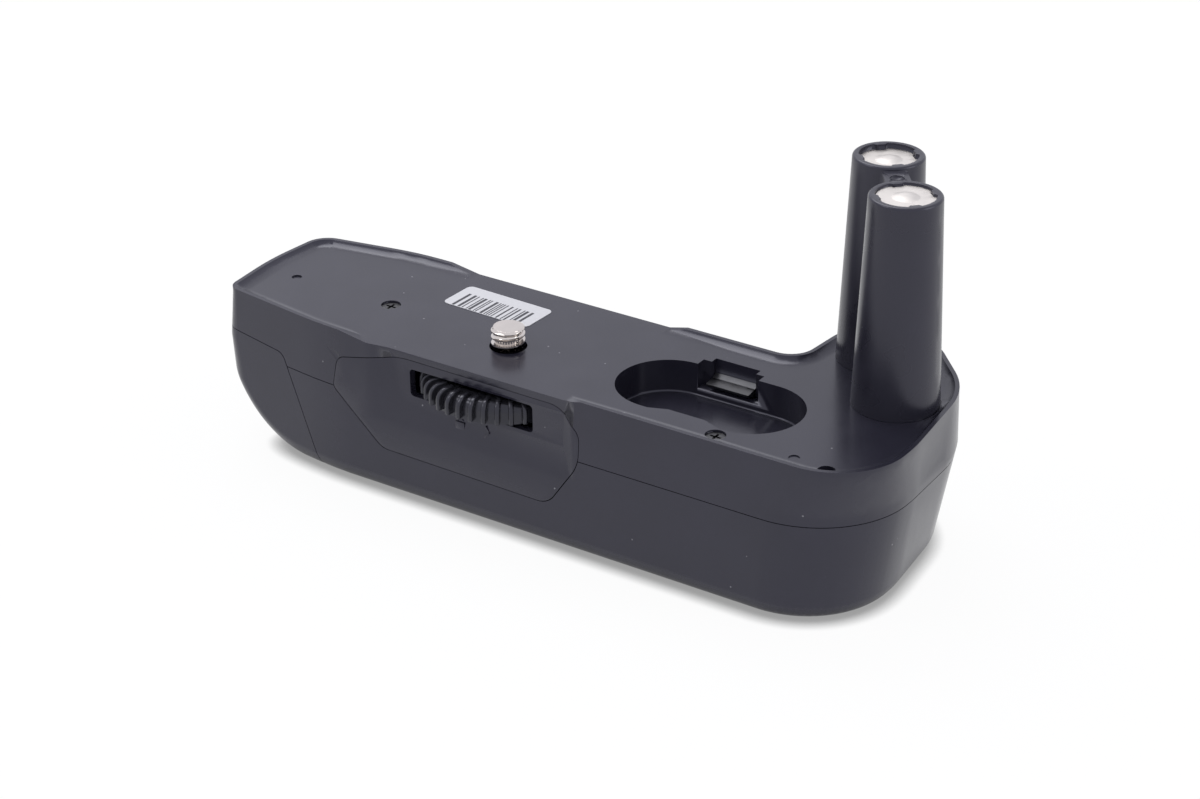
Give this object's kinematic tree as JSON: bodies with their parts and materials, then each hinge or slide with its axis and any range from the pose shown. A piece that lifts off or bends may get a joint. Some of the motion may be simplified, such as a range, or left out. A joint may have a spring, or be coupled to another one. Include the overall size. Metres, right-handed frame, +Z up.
{
  "type": "camera battery grip",
  "caption": "Black plastic battery grip that screws under a camera: thumb wheel in the rear face, captive deck screw, twin contact posts and an end door for the cells.",
  "frame": {"origin": "on the camera screw's axis, in the plane of the deck that the camera's base rests on", "axes": "+Z up out of the deck along the camera screw, X along the grip's length with the contact posts at +X, +Y away from the palm side with the thumb wheel's window at -Y"},
  "size_m": [0.1449, 0.0595, 0.0711],
  "materials": {
    "case_plastic": "black moulded plastic with a soft satin sheen",
    "wheel_plastic": "black moulded plastic, slightly glossier ribs",
    "tower_plastic": "smooth black plastic, semi-gloss",
    "tray_plastic": "plain dark plastic",
    "contact_nickel": "satin nickel-plated sheet",
    "plain_steel": "zinc-plated steel",
    "black_steel": "blackened steel screw heads",
    "clip_steel": "grey sprung steel sheet",
    "screw_nickel": "bright nickel plating",
    "label_white": "plain white printed film"
  },
  "bodies": {
    "grip": {"upper_case": "case_plastic", "lower_case": "case_plastic", "rear_panel": "case_plastic", "contact_tower": "tower_plastic", "tower_contact_near": "contact_nickel", "tower_contact_far": "contact_nickel", "tower_lead_near": "contact_nickel", "tower_lead_far": "contact_nickel", "tower_screws": "plain_steel", "wheel_carrier": "tray_plastic", "carrier_screws": "plain_steel", "lid_clip": "clip_steel", "cell_tray": "tray_plastic", "tray_cradle": "tray_plastic", "tray_end_cap": "tray_plastic", "deck_screws": "black_steel", "case_screws": "plain_steel", "end_plate_contact": "contact_nickel", "end_spring_contact": "contact_nickel", "tripod_socket": "screw_nickel", "deck_label": "label_white", "door_hinge_pin": "plain_steel"},
    "wheel": {"thumb_wheel": "wheel_plastic", "screw_spring": "plain_steel"},
    "screw": {"camera_screw": "screw_nickel"},
    "door": {"battery_door": "case_plastic", "door_contact_block": "tray_plastic", "door_bridge_contact": "contact_nickel"},
    "latch": {"door_latch": "wheel_plastic", "latch_spring": "plain_steel"}
  },
  "joints": [
    {"name": "wheel_turn", "type": "hinge", "parent": "grip", "child": "wheel", "pos_m": [0, 0, 0], "axis": [0, 0, 1], "continuous": true},
    {"name": "screw_float", "type": "slide", "parent": "wheel", "child": "screw", "axis": [0, 0, -1], "range_m": [0, 0.0034], "stiffness_N_per_m": 600, "springref_m": -0.0005, "deforming": ["screw_spring"]},
    {"name": "door_swing", "type": "hinge", "parent": "grip", "child": "door", "pos_m": [-0.0358, 0, -0.03], "axis": [0, -1, 0], "range_deg": [0, 80]},
    {"name": "latch_slide", "type": "slide", "parent": "door", "child": "latch", "axis": [0, 0, -1], "range_m": [0, 0.0025], "stiffness_N_per_m": 500, "springref_m": -0.0005, "deforming": ["latch_spring"]}
  ]
}
